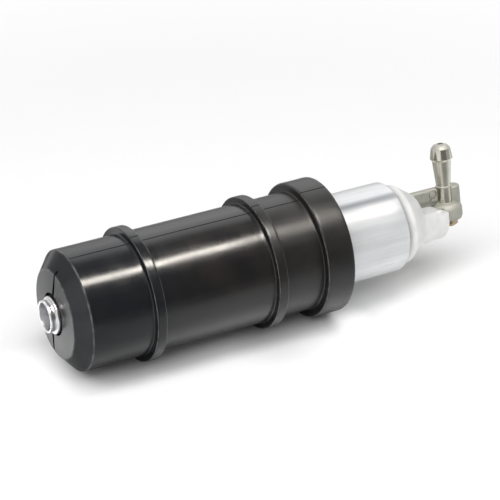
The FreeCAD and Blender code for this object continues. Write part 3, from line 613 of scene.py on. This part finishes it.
finishes = {
    "rubber": rubberFinish("sleeveRubber", sleeveLook["cool"], sleeveLook["polish"], sleeveDetail),
    "seal_rubber": rubberFinish("sealRubber", [(0.012, 0.012, 0.012), (0.02, 0.02, 0.02)], (0.35, 0.5)),
    "can_aluminium": canFinish("drawnAluminium"),
    "cast_aluminium": metalFinish("turnedAluminium", [(0.74, 0.74, 0.76), (0.90, 0.90, 0.91)],
                                  0.22, 0.42, 300, (2.2, 0.2, 0.2), 0.02),
    "sintered_steel": metalFinish("sinteredSteel", [(0.28, 0.27, 0.26), (0.46, 0.45, 0.44)],
                                  0.35, 0.6, 700, (1, 1, 1), 0.02),
    "bearing_bronze": metalFinish("bearingBronze", [(0.50, 0.33, 0.17), (0.72, 0.50, 0.27)],
                                  0.35, 0.55, 800, (1, 1, 1), 0.02),
    "plain_steel": metalFinish("groundSteel", [(0.48, 0.48, 0.49), (0.66, 0.66, 0.67)],
                               0.18, 0.36, 400, (3, 0.2, 0.2), 0.01),
    "magnet": plainFinish("firedFerrite", [(0.05, 0.05, 0.055), (0.11, 0.11, 0.115)], 0.5, 0.7, 300, 0.03),
    "core_steel": metalFinish("stackedSheet", [(0.20, 0.20, 0.21), (0.42, 0.42, 0.43)],
                              0.3, 0.5, 1000, (2.0, 0.02, 0.02), 0.06),
    "copper": metalFinish("enamelledWire", [(0.52, 0.20, 0.09), (0.80, 0.42, 0.22)],
                          0.18, 0.36, 900, (0.2, 1.2, 1.2), 0.09),
    "commutator_copper": metalFinish("turnedCopper", [(0.66, 0.34, 0.19), (0.83, 0.52, 0.33)],
                                     0.2, 0.4, 500, (3, 0.2, 0.2), 0.015),
    "holder_plastic": plainFinish("holderPlastic", [(0.03, 0.03, 0.033), (0.06, 0.06, 0.065)],
                                  0.35, 0.55, 200, 0.03),
    "carbon": plainFinish("pressedCarbon", [(0.02, 0.02, 0.02), (0.06, 0.06, 0.06)], 0.45, 0.65, 900, 0.03),
    "spring_steel": metalFinish("springWire", [(0.52, 0.52, 0.53), (0.70, 0.70, 0.71)],
                                0.2, 0.38, 600, (1, 1, 1), 0.01),
    # Brass and copper are dark: partly their brown colour, partly painted shade for the plug under the
    # valve chamber
    "brass": metalFinish("turnedBrass", [(0.36, 0.27, 0.17), (0.52, 0.42, 0.29)],
                         0.22, 0.42, 420, (1, 1, 1), 0.02),
    "cap_plastic": plainFinish("capPlastic", [(0.58, 0.58, 0.57), (0.68, 0.68, 0.67)],
                               0.30, 0.50, 110, 0.25, 0.35, capShade),
    "zinc_plated": fittingFinish("passivatedZinc", fittingLook["cast"], 0.35, 0.54, 0.66),
    "satin_zinc": fittingFinish("satinZinc", fittingLook["satin"], 0.35, 0.50, 0.62),
    "turned_zinc": fittingFinish("turnedZinc", fittingLook["turned"], 0.92, 0.14, 0.22),
    "crush_copper": metalFinish("annealedCopper", [(0.34, 0.22, 0.15), (0.46, 0.33, 0.24)],
                                0.3, 0.5, 500, (1, 1, 1), 0.02),
}
print("finishes are mixed:", len(finishes))


# Every frame node gets the finish of its slot in the record
nodeSlots = {part["node"]: part["material_slot"] for part in frame["record"]["subparts"]}
for name, node in nodes.items():
    for materialSlot in node.material_slots:
        materialSlot.material = finishes[nodeSlots[name]]
print("frame nodes are dressed:", len(nodes))


# Shaping helpers. Sizes are in millimetres until a mesh is made.


# A closed profile of (along X, radius, corner radius), spun about the X axis
def spunProfile(corners, steps, longest=None):
    bm = bmesh.new()
    verts = [bm.verts.new((x, 0, r)) for x, r, _ in corners]
    for first, second in zip(verts, verts[1:] + verts[:1]):
        bm.edges.new((first, second))
    for vert, (x, r, corner) in zip(verts, corners):
        if corner:
            ways = [edge.other_vert(vert).co - vert.co for edge in vert.link_edges]
            reach = corner / math.tan(ways[0].angle(ways[1]) / 2)
            bmesh.ops.bevel(bm, geom=[vert], offset=reach, offset_type="OFFSET", segments=5,
                            profile=0.5, affect="VERTICES", clamp_overlap=False, material=-1)
    if longest:
        for edge in [e for e in bm.edges if e.calc_length() > longest]:
            cuts = int(edge.calc_length() / longest)
            bmesh.ops.subdivide_edges(bm, edges=[edge], cuts=cuts)
    bmesh.ops.spin(bm, geom=bm.verts[:] + bm.edges[:], cent=(0, 0, 0), axis=(1, 0, 0),
                   angle=math.tau, steps=steps, use_merge=True)
    bmesh.ops.remove_doubles(bm, verts=bm.verts, dist=1e-4)
    bmesh.ops.recalc_face_normals(bm, faces=bm.faces)
    return bm


# The same profile as (height, radius, corner), stood upright at a place along the pump
def uprightProfile(corners, steps, place):
    bm = spunProfile(corners, steps)
    turn = Matrix.Translation((place, 0, 0)) @ Matrix.Rotation(math.radians(-90), 4, "Y")
    bmesh.ops.transform(bm, matrix=turn, verts=bm.verts)
    return bm


def smoothed(piece, sharp):
    piece.data.shade_smooth()
    piece.data.set_sharp_from_angle(angle=math.radians(sharp))


def newPiece(bm, name, slotName):
    mesh = bpy.data.meshes.new(name)
    bm.to_mesh(mesh)
    bm.free()
    mesh.materials.append(finishes[slotName])
    piece = bpy.data.objects.new(name, mesh)
    bpy.context.scene.collection.objects.link(piece)
    return piece


def asPiece(bm, name, slotName, sharp=35, clocked=False):
    if clocked:
        bmesh.ops.transform(bm, matrix=clockTurn, verts=bm.verts)
    bmesh.ops.scale(bm, vec=(mm, mm, mm), verts=bm.verts)
    piece = newPiece(bm, name, slotName)
    smoothed(piece, sharp)
    return piece


# A frame node's solid as a new piece, with its loose triangles joined
def copied(node, name):
    bm = bmesh.new()
    bm.from_mesh(nodes[node].data)
    bmesh.ops.remove_doubles(bm, verts=bm.verts, dist=1e-6)
    return newPiece(bm, name, nodeSlots[node])


# Makes a piece's modifiers part of its mesh
def settled(piece):
    view = bpy.context.evaluated_depsgraph_get()
    mesh = bpy.data.meshes.new_from_object(piece.evaluated_get(view))
    piece.modifiers.clear()
    piece.data = mesh


def cutAway(piece, cutter):
    mod = piece.modifiers.new("cut", "BOOLEAN")
    mod.object = cutter
    mod.operation = "DIFFERENCE"
    mod.solver = "EXACT"
    settled(piece)
    bpy.data.objects.remove(cutter)


# Every new piece here stands for a node of the pump's body
def placed(piece, replaced):
    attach(piece, "pump_body")
    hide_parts(replaced)


# A frame node's solid with its edges softened, as casting and moulding leave them
def softened(node, name, voxel, rounds, sharp):
    piece = copied(node, name)
    remesh = piece.modifiers.new("skin", "REMESH")
    remesh.mode = "VOXEL"
    remesh.voxel_size = voxel * mm
    soften = piece.modifiers.new("soften", "SMOOTH")
    soften.factor = 0.5
    soften.iterations = rounds
    settled(piece)
    smoothed(piece, sharp)
    return piece


# Rubber sleeve with its sloped and slit nose, two ribs, wide flange and thin parting line

sleeve = {
    "steps": 216,
    "ringLength": 1.1,
    "holeRadius": 10.8,
    "holeEnd": 3.7,
    "holeRise": 0.3,
    "skinRadius": 21.6,
    "parting": {"angle": 6.6, "width": 0.46, "depth": 1.3, "from": 7.6},
    # Ripples of the skin beside the ribs, and the slow waves of all of it
    "ripple": {"radius": 28.5, "from": 8.5, "to": 122, "depth": 0.055, "pitch": 1.9, "reach": 9.0,
               "beside": [(97.4, -1), (41.4, 1), (102.2, 1), (36.6, -1)]},
    "wave": {"depth": 0.05, "turn": 0.11, "twist": 0.03},
    "slit": {"angles": (4.5, 187.8), "inner": 8.0, "outer": 22.5, "reach": 9.0,
             "outerWidth": 1.0, "innerWidth": 2.3},
    "profile": [
        (0.2, 9.85, 0.15), (1.0, 20.6, 0.6), (7.3, 28.0, 0.5),
        (36.6, 28.0, 0.5), (36.6, 31.2, 0.55), (41.4, 31.2, 0.55), (41.4, 28.0, 0.5),
        (97.4, 28.0, 0.5), (97.4, 31.2, 0.55), (102.2, 31.2, 0.55), (102.2, 28.0, 0.5),
        (122.5, 28.0, 0.6), (122.5, 32.0, 0.9), (136.4, 32.0, 0.9),
        (136.4, 21.52, 0.4), (3.6, 21.52, 0), (3.6, 9.85, 0.3),
    ],
}


# How far a point of the skin is moved out
def skinShift(x, angle):
    ripple, wave = sleeve["ripple"], sleeve["wave"]
    shift = 0.0
    for rib, way in ripple["beside"]:
        away = (x - rib) * way
        if 0 < away < ripple["reach"]:
            fade = (1 - away / ripple["reach"]) ** 1.5
            shift += fade * ripple["depth"] * math.cos(math.tau * away / ripple["pitch"])
    swell = math.sin(x * wave["turn"] + 2 * math.sin(angle))
    return shift + wave["depth"] * swell * math.sin(3 * angle + x * wave["twist"])


def cutSlits(piece):
    slit = sleeve["slit"]
    for angle in slit["angles"]:
        bm = bmesh.new()
        bmesh.ops.create_cube(bm, size=1)
        for vert in bm.verts:
            outer = vert.co.z > 0
            width = slit["outerWidth"] if outer else slit["innerWidth"]
            vert.co = Vector((vert.co.x * slit["reach"], vert.co.y * width,
                              slit["outer"] if outer else slit["inner"]))
        bmesh.ops.rotate(bm, verts=bm.verts, cent=(0, 0, 0),
                         matrix=Matrix.Rotation(math.radians(angle), 3, "X"))
        cutAway(piece, asPiece(bm, "slitCutter", "rubber"))


def makeSleeve():
    bm = spunProfile(sleeve["profile"], sleeve["steps"], sleeve["ringLength"])
    parting, ripple = sleeve["parting"], sleeve["ripple"]
    turn = math.radians(parting["angle"])
    across = Vector((0, math.cos(turn), math.sin(turn)))
    # Three cuts along the skin: the line's bottom and its two edges
    for offset in (-1, 0, 1):
        bmesh.ops.bisect_plane(bm, geom=bm.verts[:] + bm.edges[:] + bm.faces[:], dist=1e-5,
                               plane_co=across * offset * parting["width"], plane_no=across)
    for vert in bm.verts:
        x, y, z = vert.co
        radius = math.hypot(y, z)
        if radius < sleeve["holeRadius"] and x < sleeve["holeEnd"]:
            vert.co.z += sleeve["holeRise"]
        if radius < sleeve["skinRadius"]:
            continue
        out = Vector((0, y, z)) / radius
        if radius < ripple["radius"] and ripple["from"] < x < ripple["to"]:
            vert.co += out * skinShift(x, math.atan2(-y, z))
        if abs(vert.co.dot(across)) < 1e-3 and x > parting["from"]:
            vert.co -= out * parting["depth"]
    piece = asPiece(bm, "rubberSleeveSkin", "rubber")
    cutSlits(piece)
    smoothed(piece, 35)
    placed(piece, "rubber_sleeve")


makeSleeve()
print("sleeve is shaped")


# Aluminium can with both lips rolled in

can = {
    "steps": 192,
    "ringLength": 4.0,
    "profile": [
        (4.0, 19.3, 0.3), (4.0, 21.5, 1.3), (172.5, 21.5, 1.4), (172.5, 19.3, 0.5),
        (171.12, 19.3, 0), (171.12, 20.1, 0), (5.38, 20.1, 0), (5.38, 19.3, 0),
    ],
}


def makeCan():
    bm = spunProfile(can["profile"], can["steps"], can["ringLength"])
    placed(asPiece(bm, "canShell", "can_aluminium"), "pump_can")


makeCan()


# Inlet neck with its rolled mouth, groove and ring, and the kidney port in the disc behind it

inlet = {
    "steps": 144,
    "profile": [
        (-4.1, 6.4, 0.55), (-4.1, 7.5, 0.54), (-3.0, 7.5, 0.8), (-2.3, 7.32, 0.8), (-1.2, 7.35, 0.25),
        (-1.2, 8.7, 0.55), (0.15, 8.7, 0.4), (0.15, 7.9, 0.3), (4.2, 7.9, 0),
        (4.2, 19.25, 0.2), (5.4, 19.25, 0), (5.4, 20.05, 0.2),
        (14.0, 20.05, 0.2), (14.0, 0, 0), (9.8, 0, 0), (9.8, 6.4, 1.0),
    ],
    "port": {"inner": 8.2, "outer": 12.2, "from": 195, "to": 345, "start": 9.4, "end": 15.0},
}


def makeInlet():
    bm = spunProfile(inlet["profile"], inlet["steps"])
    piece = asPiece(bm, "inletNeck", "cast_aluminium")
    port = inlet["port"]
    kidney = bmesh.new()
    corners = [(port["start"], port["inner"]), (port["end"], port["inner"]),
               (port["end"], port["outer"]), (port["start"], port["outer"])]
    face = kidney.faces.new([kidney.verts.new((x, 0, r)) for x, r in corners])
    bmesh.ops.rotate(kidney, verts=kidney.verts, cent=(0, 0, 0),
                     matrix=Matrix.Rotation(math.radians(-port["from"]), 3, "X"))
    bmesh.ops.spin(kidney, geom=kidney.verts[:] + kidney.edges[:] + [face], cent=(0, 0, 0),
                   axis=(1, 0, 0), angle=math.radians(port["from"] - port["to"]), steps=40)
    bmesh.ops.recalc_face_normals(kidney, faces=kidney.faces)
    cutAway(piece, asPiece(kidney, "kidneyCutter", "cast_aluminium"))
    smoothed(piece, 35)
    placed(piece, "inlet_cover")


makeInlet()
print("can and inlet are shaped")


# White end cap and the cast part of the outlet fitting, softened from their solids. The fitting's
# post and barb are turned, so they are one smooth piece.

soft = {
    "cap": {"voxel": 0.34, "rounds": 6, "sharp": 50},
    "fitting": {"voxel": 0.20, "rounds": 2, "sharp": 40},
}

outlet = {
    "place": 205.1,
    "steps": 160,
    "clearanceSteps": 96,
    "profile": [
        (4.3, 2.35, 0), (4.3, 3.8, 0), (12.2, 3.8, 0.1), (12.3, 3.92, 0.06), (12.8, 3.92, 0.08),
        (13.0, 3.5, 0.2), (13.7, 3.58, 0.3), (24.2, 4.45, 0.4), (25.2, 4.5, 0.12), (26.3, 5.37, 0.15),
        (31.3, 4.62, 0.4), (32.7, 3.4, 0.9), (33.4, 1.8, 0.2),
        (33.4, 1.4, 0.1), (14.0, 1.4, 0), (14.0, 2.35, 0),
    ],
    "clearance": [(4.75, 0), (4.75, 3.92), (12.72, 3.92), (12.72, 6.5), (40.0, 6.5), (40.0, 0)],
    "groove": {"inner": 3.8, "outer": 5.6, "foot": 5.5, "top": 14.0, "from": 176, "to": 226},
    "underside": {"start": 184.0, "end": 199.3, "out": -2.8, "in": -1.1, "foot": 4.66, "top": 7.4,
                  "endTop": 6.3},
    "plugRing": {"place": 197.4, "height": 10.2, "inner": 1.82, "outer": 2.16, "out": -2.5, "in": -1.75},
    "stakeMark": {"place": 195.8, "height": 7.5, "radius": 0.8, "out": -2.5, "in": -1.5},
    "satin": [(12.1, 13.05), (31.2, 34.0)],
    "bottom": {"start": 200.4, "end": 214.0, "out": -10.0, "in": 10.0, "foot": -9.0, "top": -3.5,
               "endTop": -3.5},
}

# The hexagon plug that closes the valve chamber from below, on its washer
plug = {
    "washer": [(-3.85, 4.2), (-3.85, 6.1), (-3.5, 6.1), (-3.5, 4.2)],
    "shank": [(-4.2, 0), (-4.2, 4.15), (-2.0, 4.15), (-2.0, 0)],
    "steps": 64,
    "hexRadius": 5.4,
    "hexTall": 2.85,
    "hexTop": -3.85,
    "hexBevel": 0.3,
}


# The shapes that the arm's cutter is made of
def addBlock(bm, values):
    for vert in bmesh.ops.create_cube(bm, size=1)["verts"]:
        atEnd, high, near = vert.co.x > 0, vert.co.z > 0, vert.co.y < 0
        top = values["endTop"] if atEnd else values["top"]
        vert.co = Vector((values["end"] if atEnd else values["start"],
                          values["out"] if near else values["in"], top if high else values["foot"]))


def addGroove(bm, values):
    corners = [(values["inner"], values["foot"]), (values["outer"], values["foot"]),
               (values["outer"], values["top"]), (values["inner"], values["top"])]
    face = bm.faces.new([bm.verts.new((r, 0, z)) for r, z in corners])
    bmesh.ops.rotate(bm, verts=bm.verts, cent=(0, 0, 0),
                     matrix=Matrix.Rotation(math.radians(values["from"]), 3, "Z"))
    bmesh.ops.spin(bm, geom=bm.verts[:] + bm.edges[:] + [face], cent=(0, 0, 0), axis=(0, 0, 1),
                   angle=math.radians(values["to"] - values["from"]), steps=16)
    bmesh.ops.translate(bm, verts=bm.verts, vec=(outlet["place"], 0, 0))


def plugRing(values):
    bm = spunProfile([(values["out"], values["inner"], 0), (values["out"], values["outer"], 0),
                      (values["in"], values["outer"], 0), (values["in"], values["inner"], 0)], 48)
    turn = Matrix.Rotation(math.radians(90), 4, "Z")
    move = Matrix.Translation((values["place"], 0, values["height"]))
    bmesh.ops.transform(bm, matrix=move @ turn, verts=bm.verts)
    return bm


def addMark(bm, values):
    mark = bmesh.ops.create_cone(bm, cap_ends=True, segments=24, radius1=values["radius"],
                                 radius2=values["radius"], depth=values["in"] - values["out"])["verts"]
    turn = Matrix.Rotation(math.radians(90), 4, "X")
    move = Matrix.Translation((values["place"], (values["in"] + values["out"]) / 2, values["height"]))
    bmesh.ops.transform(bm, matrix=move @ turn, verts=mark)


# Room for the turned barb, and the small forms of the arm. No two of these may touch each other.
def cutFitting(fitting):
    clearance = uprightProfile([(x, r, 0) for x, r in outlet["clearance"]], outlet["clearanceSteps"],
                               outlet["place"])
    cutAway(fitting, asPiece(clearance, "barbCutter", "zinc_plated", clocked=True))
    bm = bmesh.new()
    addGroove(bm, outlet["groove"])
    addBlock(bm, outlet["underside"])
    ring = plugRing(outlet["plugRing"])
    addMark(ring, outlet["stakeMark"])
    addBlock(ring, outlet["bottom"])
    ringMesh = bpy.data.meshes.new("plugRingShape")
    ring.to_mesh(ringMesh)
    ring.free()
    bm.from_mesh(ringMesh)
    bpy.data.meshes.remove(ringMesh)
    bmesh.ops.recalc_face_normals(bm, faces=bm.faces)
    cutAway(fitting, asPiece(bm, "armCutter", "zinc_plated", clocked=True))


def makeCap():
    placed(softened("end_cap", "endCapShell", **soft["cap"]), "end_cap")


def makeFitting():
    fitting = softened("outlet_elbow", "outletFitting", **soft["fitting"])
    cutFitting(fitting)
    smoothed(fitting, soft["fitting"]["sharp"])
    placed(fitting, "outlet_elbow")
    turned = uprightProfile(outlet["profile"], outlet["steps"], outlet["place"])
    for face in turned.faces:
        height = face.calc_center_median().z
        if any(low < height < high for low, high in outlet["satin"]):
            face.material_index = 1
    barb = asPiece(turned, "outletBarb", "turned_zinc", 40, True)
    barb.data.materials.append(finishes["satin_zinc"])
    placed(barb, "outlet_elbow")


def makePlug():
    washer = uprightProfile([(x, r, 0.08) for x, r in plug["washer"]], plug["steps"], outlet["place"])
    placed(asPiece(washer, "valvePlugWasher", "crush_copper", 35, True), "crush_washer")
    head = uprightProfile([(x, r, 0) for x, r in plug["shank"]], plug["steps"], outlet["place"])
    hexagon = bmesh.ops.create_cone(head, cap_ends=True, segments=6, radius1=plug["hexRadius"],
                                    radius2=plug["hexRadius"], depth=plug["hexTall"])["verts"]
    middle = (outlet["place"], 0, plug["hexTop"] - plug["hexTall"] / 2)
    bmesh.ops.transform(head, matrix=Matrix.Translation(middle), verts=hexagon)
    edges = [edge for edge in head.edges if edge.verts[0] in hexagon and edge.calc_length() > 1.0]
    bmesh.ops.bevel(head, geom=edges, offset=plug["hexBevel"], segments=2, profile=0.5, affect="EDGES")
    placed(asPiece(head, "valvePlug", "brass", 35, True), "screw_plug")


makeCap()
makeFitting()
makePlug()
print("cap and fitting are softened")


# Coil springs, which get shorter as their brush or ball moves
springPieces = {
    "brush_spring_upper": "upperBrushSpring",
    "brush_spring_lower": "lowerBrushSpring",
    "check_spring": "checkValveSpring",
    "relief_spring": "reliefValveSpring",
}


# Each spring is a smooth copy of its node, with a mesh of its own
def makeSpring(node, name):
    piece = copied(node, name)
    piece.data.shade_smooth()
    placed(piece, node)
    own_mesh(piece)


for joint in frame["record"]["behaviour"]["joints"]:
    for sprung in joint.get("deforming_nodes", []):
        makeSpring(sprung["node"], springPieces[sprung["node"]])
print("springs are fitted")


triangles = sum(len(face.vertices) - 2 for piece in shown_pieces() for face in piece.data.polygons)
print("triangles in all:", triangles)
